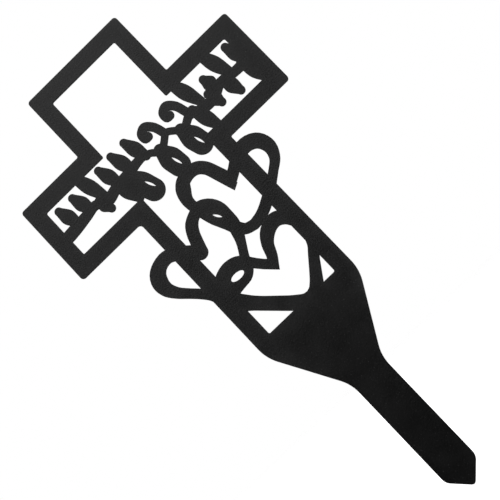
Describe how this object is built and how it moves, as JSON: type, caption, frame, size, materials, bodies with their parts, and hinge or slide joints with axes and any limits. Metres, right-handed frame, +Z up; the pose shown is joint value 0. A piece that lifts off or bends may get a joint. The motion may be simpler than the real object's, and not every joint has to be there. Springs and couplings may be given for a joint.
{
  "type": "metal grave cross",
  "caption": "Flat openwork grave cross cut from sheet steel, with linked hearts in its shaft, a vine across its arms and a pointed stake that goes into the ground.",
  "frame": {"origin": "on the plate's front face, on the centreline, at the ground line where the stake enters the ground", "axes": "+Z up along the cross, -Y out of the front face, +X to the right seen from the front"},
  "size_m": [0.2, 0.002, 0.4],
  "materials": {
    "black_powder_coat": "satin black powder coat with a fine orange peel"
  },
  "bodies": {
    "root": {"cross_plate": "black_powder_coat"}
  },
  "joints": []
}
